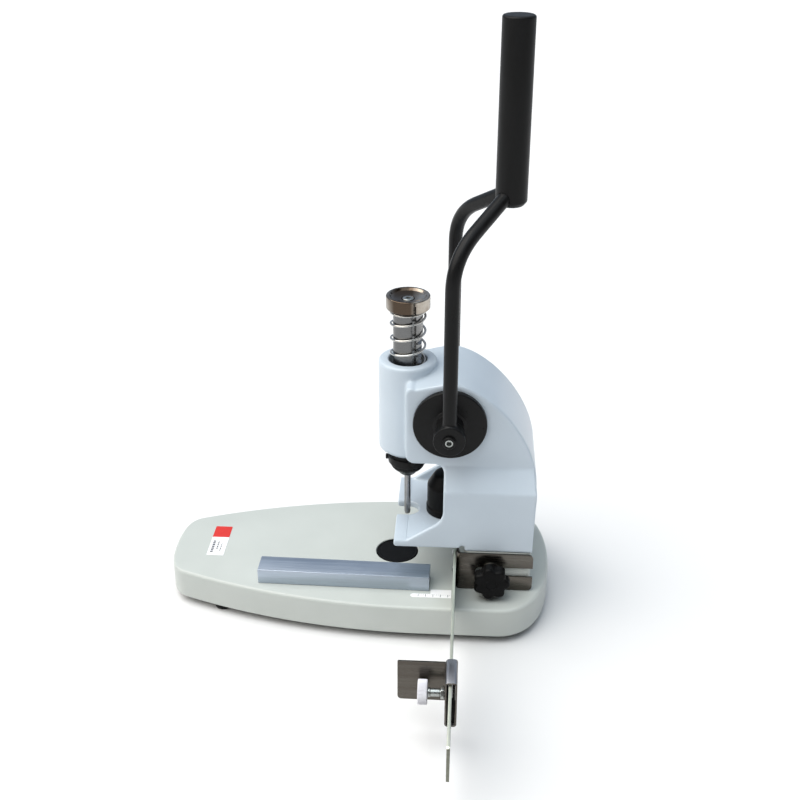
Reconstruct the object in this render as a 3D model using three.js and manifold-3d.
// Bench-top lever press that punches one round hole in a paper stack.
// Millimetres, +Z up. The origin is the point on the cutting pad where the
// punch lands, X runs from the operator towards the column, Y across.
import * as THREE from 'three';
import { mergeVertices } from 'three/addons/utils/BufferGeometryUtils.js';
import Module from 'manifold-3d';

const wasm = await Module();
wasm.setup();

// ---------------------------------------------------------------- dimensions
const GAP = 0.3;                 // clearance between neighbouring pieces

// sides of round pieces, by size
const FINE = 32;
const ROUND = 24;
const SMALL = 16;
const TINY = 12;

// base
const BASE_HEIGHT = 30;
const BASE_TOP_WALL = 9;
const BASE_SIDE_WALL = 7;
const BASE_HALF_WIDTH = 93.5;
const FOOT_HEIGHT = 8;
const FOOT_RADIUS = 9;
const FEET = {
  front_left: [-178, -49],
  rear_left: [-178, 49],
  front_right: [104, -70],
  rear_right: [104, 70],
};

// cutting pad, off the punch axis so that it can be turned to a fresh place
const PAD_X = -10;
const PAD_RADIUS = 20.5;
const PAD_THICKNESS = 6;

// frame casting
const HEAD_HALF_WIDTH = 43;
const SHELL_HALF_WIDTH = 58;
const CHEEK_WALL = 4.5;
const JAW_TIP_X = -10;
const CHEEK_FOOT_X = 2;          // where the cheeks rise out of the jaw
const JAW_BOTTOM_Z = 44;
const JAW_TOP_Z = 50.4;
const SHELL_BOTTOM_Z = 41;
const SHELL_FRONT_X = 36;
const BACK_X = 121.5;
const SHOULDER_LOW_Z = 104;
const SHOULDER_HIGH_Z = 124;
const HEAD_BOTTOM_Z = 125;
const HEAD_TOP_Z = 208;
const HEAD_ROUND = 3.6;          // rounding of the long rims of the head
const BOSS_RADIUS = 27;
const BOSS_TOP_Z = 213;
const NOTCH_RADIUS = 11.8;
const CAVITY_TOP_Z = 98;

// column inside the casting
const COLUMN_FRONT_X = 57;
const COLUMN_BACK_X = 119.5;
const BOLT_XS = [75, 103];
const BOLT_RADIUS = 5;

// ram, rack and pinion
const SHAFT_X = 40.5;
const SHAFT_Z = 169;
const SHAFT_RADIUS = 9;
const MODULE = 2;
const PINION_TEETH = 30;
const PINION_HALF_WIDTH = 8;
const PITCH_RADIUS = MODULE * PINION_TEETH / 2;
const RACK_PITCH_X = SHAFT_X - PITCH_RADIUS;
const RAM_RADIUS = 13.6;
const RAM_FLAT_X = 12.5;         // face of the rack side, clear of the pinion's root
const RAM_BOTTOM_Z = 117.5;
const RAM_TOP_Z = 266;
const KEY_ANGLE = -62;           // degrees about Z from +X
const KEY_WIDTH = 3.2;

// spring, cap and tool holder
const SEAT_Z = 195;
const SPRING_BORE_RADIUS = 17.6;
const SPRING_MEAN_RADIUS = 15.7;
const WIRE_RADIUS = 1.15;
const CAP_RADIUS = 20;
const CAP_BOTTOM_Z = 263;
const CAP_TOP_Z = 275;
const SPIGOT_RADIUS = 8;
const SPIGOT_TOP_Z = 129.5;
const FLANGE_RADIUS = 18.5;
const FLANGE_BOTTOM_Z = 104.5;
const FLANGE_TOP_Z = 112;
const COLLAR_RADIUS = 16;
const NUT_RADIUS = 15.8;
const PUNCH_RADIUS = 3.05;
const PUNCH_TIP_Z = 45.2;

// lever
const BUSH_RADIUS = 13;
const DISC_RADIUS = 33.5;
const DISC_OUTER_Y = 49;
const EYE_INNER_Y = 64.5;
const EYE_OUTER_Y = 78.5;
const EYE_RADIUS = 14;
const ARM_RADIUS = 6.25;
const ARM_Y = 71;
const ARM_BEND_Y = 62;
const ARM_BEND_Z = 332;
const GRIP_X = 88;
const GRIP_BOTTOM_Z = 360;
const GRIP_TOP_Z = 517;
const GRIP_RADIUS = 13.8;
const CORE_RADIUS = 6.2;

// back gauge
const PLATE = 2;                 // sheet thickness
const BRACKET_FACE_Y = -60.4;
const BRACKET_END_X = 121.3;
const GAUGE_BOTTOM_Z = 0.6;
const BRACKET_TOP_Z = 40.3;
const SLOT_Z = 20.5;
const SLOT_HALF = 4.8;
const FENCE_X = 46.6;
const FENCE_THICK = 2.6;
const FENCE_TOP_Z = 36;
const FENCE_NEAR_Y = -311;
const FENCE_FAR_Y = -15;
const KNOB_X = 82.5;
const KNOB_FRONT_Y = -82;
const STUD_RADIUS = 3;

// side stop on the fence
const CLIP_NEAR_Y = -241;
const CLIP_FAR_Y = -211;
const CLIP_LEFT_X = 43.6;
const CLIP_RIGHT_X = 53.6;
const CLIP_TOP_Z = 39;
const CLIP_BOTTOM_Z = -7;
const SHEET = 1.6;
const STOP_LEFT_X = 3.5;
const STOP_BOTTOM_Z = -4;
const SCREW_Y = -226;
const SCREW_Z = 16;

// loose aluminium bar that lies on the base
const BAR = { length: 164, width: 23, height: 15, x: -57.5, y: -53.5, turn: -1.2 };

// ----------------------------------------------------------------- materials
const paint = { color: 0xe9eef2, roughness: 0.38, metalness: 0.0 };
const basePaint = { color: 0xdde0dc, roughness: 0.45, metalness: 0.0 };
const black = { color: 0x1a1a1b, roughness: 0.42, metalness: 0.1 };
const rubber = { color: 0x202022, roughness: 0.8, metalness: 0.0 };
const steel = { color: 0x9a9a9c, roughness: 0.3, metalness: 1.0 };
const nickel = { color: 0xb4aca0, roughness: 0.18, metalness: 1.0 };
const stainless = { color: 0x8f8a84, roughness: 0.32, metalness: 1.0 };
const bronze = { color: 0xa9793f, roughness: 0.35, metalness: 1.0 };
const aluminium = { color: 0xb3bcc4, roughness: 0.45, metalness: 1.0 };
const nylon = { color: 0xf0f0ec, roughness: 0.5, metalness: 0.0 };
const whiteLabel = { color: 0xf3f3f1, roughness: 0.6, metalness: 0.0 };

// ------------------------------------------------------------------- helpers
function solid(geometry) {
  const bare = geometry.index ? geometry.toNonIndexed() : geometry.clone();
  bare.deleteAttribute('normal');
  bare.deleteAttribute('uv');
  const merged = mergeVertices(bare);
  return new wasm.Manifold(new wasm.Mesh({
    numProp: 3,
    vertProperties: new Float32Array(merged.attributes.position.array),
    triVerts: new Uint32Array(merged.index.array),
  }));
}

function surface(body) {
  const { vertProperties, triVerts } = body.getMesh();
  const geometry = new THREE.BufferGeometry();
  geometry.setAttribute('position', new THREE.BufferAttribute(vertProperties, 3));
  geometry.setIndex(new THREE.BufferAttribute(triVerts, 1));
  geometry.computeVertexNormals();
  return geometry;
}

const product = new THREE.Group();

function part(name, shape, look) {
  const geometry = shape.isBufferGeometry ? shape : surface(shape);
  const mesh = new THREE.Mesh(geometry, new THREE.MeshStandardMaterial(look));
  mesh.name = name;
  product.add(mesh);
}

function box(x0, x1, y0, y1, z0, z1) {
  const geometry = new THREE.BoxGeometry(x1 - x0, y1 - y0, z1 - z0);
  geometry.translate((x0 + x1) / 2, (y0 + y1) / 2, (z0 + z1) / 2);
  return solid(geometry);
}

// the outline as a polygon without repeated points
function tidyOutline(shape, curveSegments) {
  const points = shape.getPoints(curveSegments);
  const far = (p, i) => p.distanceTo(points[(i + 1) % points.length]) > 0.02;
  return new THREE.Shape(points.filter(far));
}

// outline drawn in XY, kept at its size, with rounded rims of the given radius
function slab(shape, z0, z1, round = 0, curveSegments = 6) {
  const geometry = new THREE.ExtrudeGeometry(tidyOutline(shape, curveSegments), {
    depth: z1 - z0 - 2 * round,
    bevelEnabled: round > 0,
    bevelThickness: round,
    bevelSize: round,
    bevelOffset: -round,
    bevelSegments: 2,
  });
  geometry.translate(0, 0, z0 + round);
  return geometry;
}

// outline drawn as (x, z), extruded from y0 to y1
function sideSlab(shape, y0, y1, round = 0, curveSegments = 6) {
  const geometry = slab(shape, -y1, -y0, round, curveSegments);
  geometry.rotateX(Math.PI / 2);
  return geometry;
}

// outline drawn as (y, z), extruded from x0 to x1
function crossSlab(shape, x0, x1) {
  const geometry = slab(shape, x0, x1, 0, 3);
  geometry.rotateX(Math.PI / 2);
  geometry.rotateZ(Math.PI / 2);
  return geometry;
}

// turned piece about Z; the profile is closed and listed as [radius, z]
function turned(profile, segments = ROUND) {
  const points = profile.map(([r, z]) => new THREE.Vector2(r, z));
  points.push(points[0].clone());
  const geometry = new THREE.LatheGeometry(points, segments);
  geometry.rotateX(Math.PI / 2);
  const body = solid(geometry);
  return body.volume() < 0 ? flipped(geometry) : body;
}

function flipped(geometry) {
  const mirrored = geometry.index.array;
  for (let i = 0; i < mirrored.length; i += 3) {
    [mirrored[i], mirrored[i + 1]] = [mirrored[i + 1], mirrored[i]];
  }
  return solid(geometry);
}

function cylinder(radius, z0, z1, x = 0, y = 0, segments = ROUND) {
  const geometry = new THREE.CylinderGeometry(radius, radius, z1 - z0, segments);
  geometry.rotateX(Math.PI / 2);
  geometry.translate(x, y, (z0 + z1) / 2);
  return solid(geometry);
}

function cylinderY(radius, y0, y1, x, z, segments = ROUND) {
  const geometry = new THREE.CylinderGeometry(radius, radius, y1 - y0, segments);
  geometry.translate(x, (y0 + y1) / 2, z);
  return solid(geometry);
}

function cylinderX(radius, x0, x1, y, z, segments = SMALL) {
  const geometry = new THREE.CylinderGeometry(radius, radius, x1 - x0, segments);
  geometry.rotateZ(Math.PI / 2);
  geometry.translate((x0 + x1) / 2, y, z);
  return solid(geometry);
}

function polygon(points) {
  return new THREE.Shape(points.map(([x, y]) => new THREE.Vector2(x, y)));
}

// block that stands out radially from the Z axis at an angle in degrees
function radialBlock(degrees, r0, r1, width, z0, z1) {
  const geometry = new THREE.BoxGeometry(r1 - r0, width, z1 - z0);
  geometry.translate((r0 + r1) / 2, 0, (z0 + z1) / 2);
  geometry.rotateZ(THREE.MathUtils.degToRad(degrees));
  return solid(geometry);
}

// mirror copies either side of the XZ plane, as [name, sign]
const SIDES = [['front', -1], ['rear', 1]];

function cylinderOnSide(sign, radius, near, far, x, z, segments = ROUND) {
  const [y0, y1] = sign < 0 ? [-far, -near] : [near, far];
  return cylinderY(radius, y0, y1, x, z, segments);
}

// ---------------------------------------------------------------------- base
function baseOutline(inset) {
  const w = BASE_HALF_WIDTH - inset;
  const left = -233 + inset;
  const right = 139.5 - inset;
  const shoulder = 49 - inset;
  const shape = new THREE.Shape();
  shape.moveTo(left, 0);
  shape.bezierCurveTo(left, -28, -228, -shoulder + 5.2, -215, -shoulder);
  shape.quadraticCurveTo(-104, -w, 20, -w);
  shape.lineTo(88, -w);
  shape.bezierCurveTo(right - 19.5, -w, right, -58, right, 0);
  shape.bezierCurveTo(right, 58, right - 19.5, w, 88, w);
  shape.lineTo(20, w);
  shape.quadraticCurveTo(-104, w, -215, shoulder);
  shape.bezierCurveTo(-228, shoulder - 5.2, left, 28, left, 0);
  return shape;
}

function basePlate() {
  const roof = -BASE_TOP_WALL;
  let body = solid(slab(baseOutline(0), -BASE_HEIGHT, 0, 2.5));
  body = body.subtract(solid(slab(baseOutline(BASE_SIDE_WALL), -BASE_HEIGHT - 1, roof)));
  for (const [x, y] of Object.values(FEET)) {
    body = body.add(cylinder(10, -BASE_HEIGHT, roof + 1, x, y, SMALL));
    body = body.subtract(cylinder(2.8, -BASE_HEIGHT - 1, -13, x, y, TINY));
  }
  body = body.subtract(cylinder(PAD_RADIUS + 0.5, -PAD_THICKNESS - GAP, 1, PAD_X, 0));
  for (const x of BOLT_XS) {
    body = body.subtract(cylinder(BOLT_RADIUS + 0.4, roof - 1, 1, x, 0, SMALL));
  }
  return body;
}

function foot(x, y) {
  const top = -BASE_HEIGHT - GAP;
  const bottom = -BASE_HEIGHT - FOOT_HEIGHT;
  const profile = [
    [2.8, top], [2.8, -34], [5.2, -34], [5.2, bottom],
    [FOOT_RADIUS - 1, bottom], [FOOT_RADIUS, bottom + 1], [FOOT_RADIUS, top],
  ];
  return turned(profile, SMALL).translate([x, y, 0]);
}

function footScrew(x, y) {
  const head = cylinder(4.4, -37, -34 - GAP, x, y, TINY);
  return head.add(cylinder(2.5, -35, -15, x, y, TINY));
}

function cuttingPad() {
  const r = PAD_RADIUS;
  const profile = [
    [0, -PAD_THICKNESS], [r, -PAD_THICKNESS], [r, -0.8], [r - 0.8, 0], [0, 0],
  ];
  return turned(profile).translate([PAD_X, 0, 0]);
}

function column() {
  const corner = 5;
  const outline = roundedRect(COLUMN_FRONT_X, COLUMN_BACK_X, -57.6, 57.6, corner);
  let body = solid(slab(outline, GAP, SHELL_BOTTOM_Z - GAP));
  const neck = roundedRect(COLUMN_FRONT_X + 5, COLUMN_BACK_X - 8, -46, 46, corner);
  body = body.add(solid(slab(neck, SHELL_BOTTOM_Z - 2, CAVITY_TOP_Z - GAP)));
  for (const x of BOLT_XS) {
    body = body.subtract(cylinder(BOLT_RADIUS + 0.4, -1, CAVITY_TOP_Z + 1, x, 0, SMALL));
  }
  return body.subtract(cylinderY(STUD_RADIUS + GAP, -60, -38, KNOB_X, SLOT_Z, TINY));
}

function roundedRect(x0, x1, y0, y1, r) {
  const shape = new THREE.Shape();
  shape.moveTo(x0 + r, y0);
  shape.lineTo(x1 - r, y0);
  shape.absarc(x1 - r, y0 + r, r, -Math.PI / 2, 0);
  shape.lineTo(x1, y1 - r);
  shape.absarc(x1 - r, y1 - r, r, 0, Math.PI / 2);
  shape.lineTo(x0 + r, y1);
  shape.absarc(x0 + r, y1 - r, r, Math.PI / 2, Math.PI);
  shape.lineTo(x0, y0 + r);
  shape.absarc(x0 + r, y0 + r, r, Math.PI, Math.PI * 1.5);
  return shape;
}

function frameBolt(x) {
  const headTop = -BASE_TOP_WALL - GAP;
  const head = cylinder(8.5, headTop - 6, headTop, x, 0, 6);
  return head.add(cylinder(BOLT_RADIUS, headTop - 1, 120, x, 0, SMALL));
}

// ------------------------------------------------------------- frame casting
function headOutline() {
  const r = 9;
  const shape = new THREE.Shape();
  shape.moveTo(0, HEAD_BOTTOM_Z + r);
  shape.absarc(r, HEAD_BOTTOM_Z + r, r, Math.PI, Math.PI * 1.5);
  shape.lineTo(SHELL_FRONT_X - 7, HEAD_BOTTOM_Z);
  shape.quadraticCurveTo(SHELL_FRONT_X, HEAD_BOTTOM_Z, SHELL_FRONT_X, HEAD_BOTTOM_Z - 8);
  shape.lineTo(SHELL_FRONT_X, 100);
  shape.lineTo(BACK_X, 100);
  shape.lineTo(BACK_X, SHOULDER_LOW_Z);
  shape.bezierCurveTo(BACK_X, 156, 72, HEAD_TOP_Z, 38, HEAD_TOP_Z);
  shape.lineTo(5, HEAD_TOP_Z);
  shape.absarc(5, HEAD_TOP_Z - 5, 5, Math.PI / 2, Math.PI);
  return shape;
}

function shellOutline() {
  const shape = new THREE.Shape();
  shape.moveTo(JAW_TIP_X + 2, JAW_BOTTOM_Z);
  shape.lineTo(52, JAW_BOTTOM_Z);
  shape.lineTo(52, JAW_BOTTOM_Z + 2.5);
  shape.lineTo(56.5, JAW_BOTTOM_Z + 2.5);
  shape.lineTo(56.5, SHELL_BOTTOM_Z);
  shape.lineTo(BACK_X - 1.5, SHELL_BOTTOM_Z);
  shape.lineTo(BACK_X, SHOULDER_LOW_Z);
  shape.lineTo(BACK_X - 2.7, HEAD_BOTTOM_Z);
  shape.lineTo(SHELL_FRONT_X - 4, HEAD_BOTTOM_Z);
  shape.quadraticCurveTo(SHELL_FRONT_X, 118, SHELL_FRONT_X, 108);
  shape.lineTo(SHELL_FRONT_X, 81);
  shape.quadraticCurveTo(SHELL_FRONT_X, 73.5, 30.7, 68.5);
  shape.lineTo(CHEEK_FOOT_X, JAW_TOP_Z);
  shape.lineTo(JAW_TIP_X, JAW_TOP_Z);
  shape.lineTo(JAW_TIP_X, JAW_BOTTOM_Z + 2);
  shape.absarc(JAW_TIP_X + 2, JAW_BOTTOM_Z + 2, 2, Math.PI, Math.PI * 1.5);
  return shape;
}

// lower shell, flared below the head, with a tray between two cheeks in front
function lowerShell() {
  const w = SHELL_HALF_WIDTH;
  const h = HEAD_HALF_WIDTH;
  const inner = w - CHEEK_WALL;
  const section = polygon([
    [-w, 30], [w, 30], [w, SHOULDER_LOW_Z], [h, SHOULDER_HIGH_Z],
    [-h, SHOULDER_HIGH_Z], [-w, SHOULDER_LOW_Z],
  ]);
  const side = solid(sideSlab(shellOutline(), -w, w));
  let body = side.intersect(solid(crossSlab(section, -30, 140)));
  body = body.subtract(box(-30, SHELL_FRONT_X, -inner, inner, JAW_TOP_Z, 140));
  const cavityBack = BACK_X - 5.5;
  body = body.subtract(box(SHELL_FRONT_X + 5, cavityBack, -inner, inner, 30, CAVITY_TOP_Z));
  body = body.add(box(SHELL_FRONT_X, 52, -inner - 1, inner + 1, JAW_BOTTOM_Z, JAW_TOP_Z));
  body = body.subtract(cylinder(NOTCH_RADIUS, 40, 60));
  return body.subtract(box(-30, 0, -NOTCH_RADIUS, NOTCH_RADIUS, 40, 60));
}

function ramBoss() {
  return turned([
    [0, RAM_BOTTOM_Z], [20, RAM_BOTTOM_Z], [BOSS_RADIUS, 123],
    [BOSS_RADIUS, BOSS_TOP_Z - 2], [BOSS_RADIUS - 2, BOSS_TOP_Z], [0, BOSS_TOP_Z],
  ], FINE);
}

function frameCasting() {
  const pocket = PITCH_RADIUS + MODULE + 0.6;
  const h = HEAD_HALF_WIDTH;
  let body = solid(sideSlab(headOutline(), -h, h, HEAD_ROUND));
  body = body.add(ramBoss()).add(lowerShell());
  body = body.subtract(cylinder(RAM_RADIUS + GAP, 100, 220));
  body = body.subtract(cylinder(SPRING_BORE_RADIUS, SEAT_Z, 220));
  body = body.subtract(cylinderY(pocket, -PINION_HALF_WIDTH - 0.4, PINION_HALF_WIDTH + 0.4,
    SHAFT_X, SHAFT_Z, FINE));
  body = body.subtract(cylinderY(BUSH_RADIUS + GAP, -60, 60, SHAFT_X, SHAFT_Z));
  body = body.subtract(radialBlock(KEY_ANGLE, 11, 17.3, KEY_WIDTH + 2 * GAP, 175.7, 190.3));
  for (const x of BOLT_XS) {
    body = body.subtract(cylinder(BOLT_RADIUS + 0.4, 90, 122, x, 0, SMALL));
  }
  return body;
}

// domed cover behind the tool, cut off flat where it meets the shell
function throatGuard() {
  const foot = JAW_TOP_Z + GAP;
  const dome = turned([
    [0, foot], [20, foot], [20, 57], [19.2, 58], [19.2, 77], [18, 82], [14.6, 88.4],
    [11, 92], [6, 94.2], [0, 95],
  ], FINE).translate([38.5, 0, 0]);
  return dome.intersect(box(0, SHELL_FRONT_X - GAP, -30, 30, 40, 100));
}

// ------------------------------------------------------------ rack and pinion
function involute(angle) {
  return Math.tan(angle) - angle;
}

// pinion outline about its own centre, one tooth pointing at angle 180 degrees
function pinionOutline() {
  const pressure = THREE.MathUtils.degToRad(20);
  const base = PITCH_RADIUS * Math.cos(pressure);
  const halfTooth = Math.PI / (2 * PINION_TEETH) - 0.25 / PITCH_RADIUS;
  const radii = [base + 0.1, PITCH_RADIUS, PITCH_RADIUS + MODULE];
  const root = PITCH_RADIUS - 1.25 * MODULE;
  const points = [];
  const at = (r, a) => points.push([r * Math.cos(a), r * Math.sin(a)]);
  for (let tooth = 0; tooth < PINION_TEETH; tooth += 1) {
    const centre = Math.PI + tooth * 2 * Math.PI / PINION_TEETH;
    const flank = radii.map((r) => [
      r, halfTooth + involute(pressure) - involute(Math.acos(base / r)),
    ]);
    at(root, centre - flank[0][1]);
    flank.forEach(([r, a]) => at(r, centre - a));
    [...flank].reverse().forEach(([r, a]) => at(r, centre + a));
    at(root, centre + flank[0][1]);
  }
  return polygon(points);
}

function pinion() {
  const geometry = sideSlab(pinionOutline(), -PINION_HALF_WIDTH, PINION_HALF_WIDTH);
  geometry.translate(SHAFT_X, 0, SHAFT_Z);
  let body = solid(geometry);
  body = body.subtract(cylinderY(SHAFT_RADIUS + GAP, -20, 20, SHAFT_X, SHAFT_Z));
  const slot = box(SHAFT_X - 2.8, SHAFT_X + 2.8, -20, 20, SHAFT_Z, SHAFT_Z + 12.2);
  return body.subtract(slot);
}

// gap between two rack teeth, centred on a height
function rackGap(z) {
  const slope = Math.tan(THREE.MathUtils.degToRad(20));
  const half = Math.PI * MODULE / 4 + 0.2;
  const deep = RACK_PITCH_X - 1.25 * MODULE;
  const out = RACK_PITCH_X + 2 * MODULE;
  const at = (x) => half + (x - RACK_PITCH_X) * slope;
  return solid(sideSlab(polygon([
    [deep, z - at(deep)], [out, z - at(out)], [out, z + at(out)], [deep, z + at(deep)],
  ]), -14, 14));
}

function ram() {
  const pitch = Math.PI * MODULE;
  let body = turned([
    [0, RAM_BOTTOM_Z], [RAM_RADIUS - 0.6, RAM_BOTTOM_Z], [RAM_RADIUS, RAM_BOTTOM_Z + 0.6],
    [RAM_RADIUS, RAM_TOP_Z], [0, RAM_TOP_Z],
  ]);
  for (let tooth = -3; tooth <= 10; tooth += 1) {
    body = body.subtract(rackGap(SHAFT_Z + tooth * pitch));
  }
  body = body.subtract(box(RAM_FLAT_X, 20, -14, 14, 147, 237));
  body = body.subtract(radialBlock(KEY_ANGLE, 11.2, 15, KEY_WIDTH + 2 * GAP, 110, 258));
  body = body.subtract(cylinder(6.3, 100, SPIGOT_TOP_Z + 0.5, 0, 0, SMALL));
  return body.subtract(cylinder(3.3, 250, 270, 0, 0, TINY));
}

// -------------------------------------------------- spring, cap, tool holder
class SpringPath extends THREE.Curve {
  getPoint(t, target = new THREE.Vector3()) {
    const turns = 6;
    const closed = 3;             // pitch of the two end turns
    const bottom = SEAT_Z + GAP + 1 + GAP + WIRE_RADIUS;
    const rise = CAP_BOTTOM_Z - GAP - WIRE_RADIUS - bottom;
    const turn = t * turns;
    const open = (rise - 2 * closed) / (turns - 2);
    const z = closed * Math.min(turn, 1)
      + open * Math.min(Math.max(turn - 1, 0), turns - 2)
      + closed * Math.max(turn - turns + 1, 0);
    const a = (turn + 0.28) * 2 * Math.PI;
    return target.set(
      SPRING_MEAN_RADIUS * Math.cos(a), SPRING_MEAN_RADIUS * Math.sin(a), bottom + z);
  }
}

function circleShape(radius, sides) {
  const points = [];
  for (let i = 0; i < sides; i += 1) {
    const a = i * 2 * Math.PI / sides;
    points.push([radius * Math.cos(a), radius * Math.sin(a)]);
  }
  return polygon(points);
}

function returnSpring() {
  return solid(new THREE.ExtrudeGeometry(circleShape(WIRE_RADIUS, 6), {
    extrudePath: new SpringPath(), steps: 84, bevelEnabled: false,
  }));
}

function springSeat() {
  const inner = RAM_RADIUS + 0.6;
  const outer = SPRING_BORE_RADIUS - 0.5;
  const low = SEAT_Z + GAP;
  return turned([[inner, low], [outer, low], [outer, low + 1], [inner, low + 1]]);
}

function ramCap() {
  const r = CAP_RADIUS;
  const body = turned([
    [3.5, RAM_TOP_Z + 0.4], [RAM_RADIUS + GAP, RAM_TOP_Z + 0.4],
    [RAM_RADIUS + GAP, CAP_BOTTOM_Z], [r - 0.8, CAP_BOTTOM_Z], [r, CAP_BOTTOM_Z + 0.8],
    [r, CAP_TOP_Z - 1], [r - 1, CAP_TOP_Z], [r - 2.7, CAP_TOP_Z], [r - 4, CAP_TOP_Z - 2.4],
    [9, CAP_TOP_Z - 3.6], [6, CAP_TOP_Z - 4], [6, 269], [3.5, 269],
  ], FINE);
  return body.subtract(radialBlock(-68, RAM_RADIUS - 1, r + 2, 1.3, 260, CAP_TOP_Z - 4));
}

function capScrew() {
  const head = cylinder(5.2, 269 + GAP, 272, 0, 0, SMALL);
  const socket = cylinder(2.4, 270.2, 275, 0, 0, 6);
  return head.subtract(socket).add(cylinder(3, 252, 270, 0, 0, TINY));
}

function chuckFlange() {
  const top = RAM_BOTTOM_Z - GAP;
  const body = turned([
    [0, 94], [SPIGOT_RADIUS, 94], [SPIGOT_RADIUS, FLANGE_BOTTOM_Z],
    [FLANGE_RADIUS - 0.8, FLANGE_BOTTOM_Z], [FLANGE_RADIUS, FLANGE_BOTTOM_Z + 0.8],
    [FLANGE_RADIUS, FLANGE_TOP_Z - 0.8], [FLANGE_RADIUS - 0.8, FLANGE_TOP_Z],
    [COLLAR_RADIUS, FLANGE_TOP_Z], [COLLAR_RADIUS, top], [6, top],
    [6, SPIGOT_TOP_Z], [0, SPIGOT_TOP_Z],
  ]);
  return body.subtract(cylinder(PUNCH_RADIUS + GAP, 90, 109, 0, 0, SMALL));
}

function chuckNut() {
  const top = FLANGE_BOTTOM_Z - GAP;
  const bore = SPIGOT_RADIUS + 0.4;
  const tipBore = PUNCH_RADIUS + 0.45;
  return turned([
    [bore, top], [NUT_RADIUS - 0.5, top], [NUT_RADIUS, top - 0.6], [NUT_RADIUS, 100.4],
    [13.8, 97.8], [10.4, 95], [8, 92.2], [7, 91.2], [tipBore, 91.2], [tipBore, 93.6],
    [bore, 93.6],
  ]);
}

function punch() {
  const rod = cylinder(PUNCH_RADIUS, PUNCH_TIP_Z, 108.6, 0, 0, SMALL);
  return rod.subtract(cylinder(2.3, PUNCH_TIP_Z - 1, 58, 0, 0, TINY));
}

// --------------------------------------------------------------------- lever
function armPath(sign) {
  const path = new THREE.CurvePath();
  const v = (x, y, z) => new THREE.Vector3(x, sign * y, z);
  const corner = v(SHAFT_X, ARM_BEND_Y, ARM_BEND_Z);
  const low = v(SHAFT_X, ARM_BEND_Y + 1.6, ARM_BEND_Z - 28);
  const high = v(SHAFT_X + 17, ARM_BEND_Y - 22, ARM_BEND_Z + 15);
  const foot = v(SHAFT_X, ARM_Y, SHAFT_Z + 6);
  const end = v(GRIP_X - 1, 2, GRIP_BOTTOM_Z + 12);
  path.add(new THREE.LineCurve3(foot, low));
  path.add(new THREE.QuadraticBezierCurve3(low, corner, high));
  path.add(new THREE.LineCurve3(high, end));
  return path;
}

function arm(sign, radius = ARM_RADIUS) {
  return solid(new THREE.ExtrudeGeometry(circleShape(radius, 10), {
    extrudePath: armPath(sign), steps: 16, bevelEnabled: false,
  }));
}

// bent yoke: two arms, an eye at each foot, and the core that carries the grip
function leverYoke() {
  let body = cylinder(CORE_RADIUS, GRIP_BOTTOM_Z + 5, GRIP_TOP_Z - 8, GRIP_X, 0, SMALL);
  for (const [, sign] of SIDES) {
    body = body.add(arm(sign));
    body = body.add(cylinderOnSide(sign, EYE_RADIUS, EYE_INNER_Y, EYE_OUTER_Y,
      SHAFT_X, SHAFT_Z));
    body = body.subtract(cylinderOnSide(sign, SHAFT_RADIUS + GAP, 50, 74.3,
      SHAFT_X, SHAFT_Z));
    body = body.subtract(cylinderOnSide(sign, 3.3, 70, 90, SHAFT_X, SHAFT_Z, TINY));
  }
  return body;
}

// rubber moulded over the core and the ends of the two arms
function grip() {
  const r = GRIP_RADIUS;
  const top = GRIP_TOP_Z;
  const low = GRIP_BOTTOM_Z;
  let body = turned([
    [0, low], [r - 4, low], [r - 1.2, low + 1.2], [r, low + 4],
    [r, top - 6], [r - 1.5, top - 2], [r - 5, top], [0, top],
  ]).translate([GRIP_X, 0, 0]);
  body = body.subtract(cylinder(CORE_RADIUS + GAP, low - 1, top - 7.5, GRIP_X, 0, SMALL));
  for (const [, sign] of SIDES) {
    body = body.subtract(arm(sign, ARM_RADIUS + 0.4));
  }
  return body;
}

function crossShaft() {
  let body = cylinderY(SHAFT_RADIUS, -74, 74, SHAFT_X, SHAFT_Z);
  body = body.subtract(box(SHAFT_X - 2.8, SHAFT_X + 2.8, -8.3, 8.3, SHAFT_Z + 5.5, SHAFT_Z + 12));
  for (const [, sign] of SIDES) {
    body = body.subtract(cylinderOnSide(sign, 3.3, 58, 80, SHAFT_X, SHAFT_Z, TINY));
  }
  return body;
}

function hubFlange(sign) {
  const inner = HEAD_HALF_WIDTH + GAP;
  let body = cylinderOnSide(sign, DISC_RADIUS, inner, DISC_OUTER_Y, SHAFT_X, SHAFT_Z, FINE);
  body = body.add(cylinderOnSide(sign, 12.5, 46, EYE_INNER_Y - GAP, SHAFT_X, SHAFT_Z));
  return body.subtract(cylinderOnSide(sign, SHAFT_RADIUS + GAP, 30, 80, SHAFT_X, SHAFT_Z));
}

function hubScrew(sign) {
  const head = cylinderOnSide(sign, 4.6, EYE_OUTER_Y + GAP, EYE_OUTER_Y + 2.8,
    SHAFT_X, SHAFT_Z, SMALL);
  const socket = cylinderOnSide(sign, 2.2, EYE_OUTER_Y + 1.2, 90, SHAFT_X, SHAFT_Z, 6);
  return head.subtract(socket).add(cylinderOnSide(sign, 3, 60, EYE_OUTER_Y + 1,
    SHAFT_X, SHAFT_Z, TINY));
}

function shaftBush(sign) {
  const near = PINION_HALF_WIDTH + 1;
  const far = HEAD_HALF_WIDTH - 0.2;
  const sleeve = cylinderOnSide(sign, BUSH_RADIUS, near, far, SHAFT_X, SHAFT_Z);
  return sleeve.subtract(cylinderOnSide(sign, SHAFT_RADIUS + GAP, 0, 60, SHAFT_X, SHAFT_Z));
}

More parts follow.
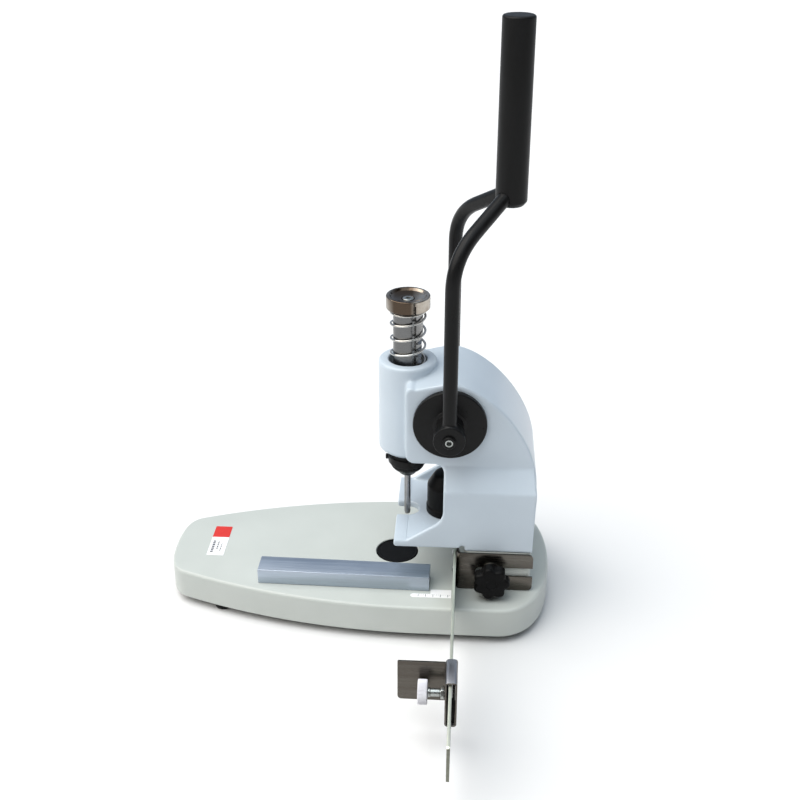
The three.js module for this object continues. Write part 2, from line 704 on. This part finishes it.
// ---------------------------------------------------------------- back gauge
function gaugeBracket() {
  const face = BRACKET_FACE_Y;
  const left = FENCE_X + FENCE_THICK + GAP;
  const z0 = GAUGE_BOTTOM_Z;
  const r = 4;
  const shape = new THREE.Shape();
  shape.moveTo(left, z0);
  shape.lineTo(BRACKET_END_X - r, z0);
  shape.absarc(BRACKET_END_X - r, z0 + r, r, -Math.PI / 2, 0);
  shape.lineTo(BRACKET_END_X, SLOT_Z - SLOT_HALF);
  shape.lineTo(72, SLOT_Z - SLOT_HALF);
  shape.absarc(72, SLOT_Z, SLOT_HALF, Math.PI * 1.5, Math.PI / 2, true);
  shape.lineTo(BRACKET_END_X, SLOT_Z + SLOT_HALF);
  shape.lineTo(BRACKET_END_X, BRACKET_TOP_Z - r);
  shape.absarc(BRACKET_END_X - r, BRACKET_TOP_Z - r, r, 0, Math.PI / 2);
  shape.lineTo(left, BRACKET_TOP_Z);
  let body = solid(sideSlab(shape, face, face + PLATE, 0, 8));
  body = body.add(box(left, left + PLATE, face, -20, z0, BRACKET_TOP_Z));
  for (const z of [10, 28]) {
    body = body.subtract(cylinderX(2.3, left - 1, left + PLATE + 1, -42, z, TINY));
  }
  return body;
}

function fence() {
  const outline = roundedRect(FENCE_NEAR_Y, FENCE_FAR_Y, GAUGE_BOTTOM_Z, FENCE_TOP_Z, 3);
  let body = solid(crossSlab(outline, FENCE_X, FENCE_X + FENCE_THICK));
  for (const z of [10, 28]) {
    body = body.subtract(cylinderX(2.3, FENCE_X - 1, FENCE_X + 4, -42, z, TINY));
  }
  return body;
}

function fenceRivet(z) {
  const left = FENCE_X - GAP;
  const right = FENCE_X + FENCE_THICK + PLATE + 2 * GAP;
  const shank = cylinderX(2, left - 1, right + 1, -42, z, TINY);
  const heads = cylinderX(3.6, left - 1.2, left, -42, z, TINY)
    .add(cylinderX(3.6, right, right + 1.2, -42, z, TINY));
  return shank.add(heads);
}

function clampStud() {
  return cylinderY(STUD_RADIUS, -77.5, -40, KNOB_X, SLOT_Z, TINY);
}

function clampWasher() {
  const y = BRACKET_FACE_Y - GAP;
  const disc = cylinderY(9, y - 1.6, y, KNOB_X, SLOT_Z, SMALL);
  return disc.subtract(cylinderY(STUD_RADIUS + GAP, -90, -50, KNOB_X, SLOT_Z, TINY));
}

function starKnob() {
  const points = [];
  for (let i = 0; i < 42; i += 1) {
    const a = i * 2 * Math.PI / 42;
    const r = 15.4 + 1.9 * Math.cos(7 * a);
    points.push([KNOB_X + r * Math.cos(a), SLOT_Z + r * Math.sin(a)]);
  }
  let body = solid(sideSlab(polygon(points), KNOB_FRONT_Y, KNOB_FRONT_Y + 12, 2));
  body = body.add(cylinderY(12, KNOB_FRONT_Y + 10, -62.7, KNOB_X, SLOT_Z));
  return body.subtract(cylinderY(STUD_RADIUS + GAP, -78, -60, KNOB_X, SLOT_Z, TINY));
}

// ----------------------------------------------------------------- side stop
function sideStop() {
  const [x0, x1, y0, y1] = [CLIP_LEFT_X, CLIP_RIGHT_X, CLIP_NEAR_Y, CLIP_FAR_Y];
  const [z0, z1] = [CLIP_BOTTOM_Z, CLIP_TOP_Z];
  const outer = roundedRect(x0, x1, z0, z1, 3);
  const inner = roundedRect(x0 + SHEET, x1 - SHEET, z0 + SHEET, z1 - SHEET, 3 - SHEET);
  let body = solid(sideSlab(outer, y0, y1, 0, 4));
  body = body.subtract(solid(sideSlab(inner, y0 - 1, y1 + 1, 0, 4)));
  const plate = roundedRect(STOP_LEFT_X, x0 + 6, STOP_BOTTOM_Z, CLIP_TOP_Z - 3, 2.5);
  const face = solid(sideSlab(plate, y1 - SHEET, y1, 0, 6));
  body = body.add(face.intersect(box(-20, x0 + 1, y0, y1, -20, 60)));
  return body.subtract(cylinderX(3.1, x0 - 1, x0 + SHEET + 1, SCREW_Y, SCREW_Z, TINY));
}

function thumbScrew() {
  const shank = cylinderX(2.7, 23, FENCE_X - GAP, SCREW_Y, SCREW_Z, TINY);
  return shank.add(cylinderX(4, 29.4, 31, SCREW_Y, SCREW_Z, TINY));
}

function thumbScrewHead() {
  const points = [];
  for (let i = 0; i < 48; i += 1) {
    const a = i * 2 * Math.PI / 48;
    const r = 10.3 - (i % 2) * 0.4;
    points.push([SCREW_Y + r * Math.cos(a), SCREW_Z + r * Math.sin(a)]);
  }
  const body = solid(crossSlab(polygon(points), 21, 29.1));
  return body.subtract(cylinderX(3, 22.5, 40, SCREW_Y, SCREW_Z, TINY));
}

function stopNut() {
  const nut = cylinderX(5.5, 40, CLIP_LEFT_X - GAP, SCREW_Y, SCREW_Z, 6);
  return nut.subtract(cylinderX(3.1, 30, 50, SCREW_Y, SCREW_Z, TINY));
}

// strip along X, narrow where the loose bar lies beside it
function scaleLabel() {
  const [z0, z1] = [GAP, GAP + 0.25];
  return box(7, 45.5, -76.5, -71, z0, z1).add(box(25.8, 45.5, -76.5, -64, z0, z1));
}

function looseBar() {
  const geometry = new THREE.BoxGeometry(BAR.length, BAR.width, BAR.height);
  geometry.rotateZ(THREE.MathUtils.degToRad(BAR.turn));
  geometry.translate(BAR.x, BAR.y, GAP + BAR.height / 2);
  return solid(geometry);
}

// ------------------------------------------------------------------ assembly
part('base_plate', basePlate(), basePaint);
for (const [place, [x, y]] of Object.entries(FEET)) {
  part(`foot_${place}`, foot(x, y), rubber);
  part(`foot_screw_${place}`, footScrew(x, y), steel);
}
part('cutting_pad', cuttingPad(), black);
part('column', column(), basePaint);
BOLT_XS.forEach((x, i) => part(`frame_bolt_${i + 1}`, frameBolt(x), steel));
part('maker_label', box(-199, -182, -20, 31.5, GAP, GAP + 0.3), whiteLabel);
part('scale_label', scaleLabel(), whiteLabel);
part('frame_casting', frameCasting(), paint);
part('throat_guard', throatGuard(), black);
part('guide_key', radialBlock(KEY_ANGLE, 11.6, 17, KEY_WIDTH, 176, 190), steel);

part('ram', ram(), nickel);
part('ram_cap', ramCap(), nickel);
part('cap_screw', capScrew(), steel);
part('spring_seat', springSeat(), steel);
part('return_spring', returnSpring(), steel);
part('chuck_flange', chuckFlange(), black);
part('chuck_nut', chuckNut(), black);
part('punch', punch(), steel);

part('cross_shaft', crossShaft(), steel);
part('pinion', pinion(), steel);
part('pinion_key', box(SHAFT_X - 2.5, SHAFT_X + 2.5, -7.8, 7.8, SHAFT_Z + 5.8, SHAFT_Z + 11.8),
  steel);
part('lever_yoke', leverYoke(), black);
part('grip', grip(), rubber);
for (const [place, sign] of SIDES) {
  part(`hub_flange_${place}`, hubFlange(sign), black);
  part(`hub_screw_${place}`, hubScrew(sign), nickel);
  part(`shaft_bush_${place}`, shaftBush(sign), bronze);
}

part('gauge_bracket', gaugeBracket(), stainless);
part('fence', fence(), stainless);
[10, 28].forEach((z, i) => part(`fence_rivet_${i + 1}`, fenceRivet(z), steel));
part('clamp_stud', clampStud(), steel);
part('clamp_washer', clampWasher(), steel);
part('star_knob', starKnob(), black);
part('side_stop', sideStop(), stainless);
part('stop_nut', stopNut(), steel);
part('thumb_screw', thumbScrew(), steel);
part('thumb_screw_head', thumbScrewHead(), nylon);
part('aluminium_bar', looseBar(), aluminium);

export default product;
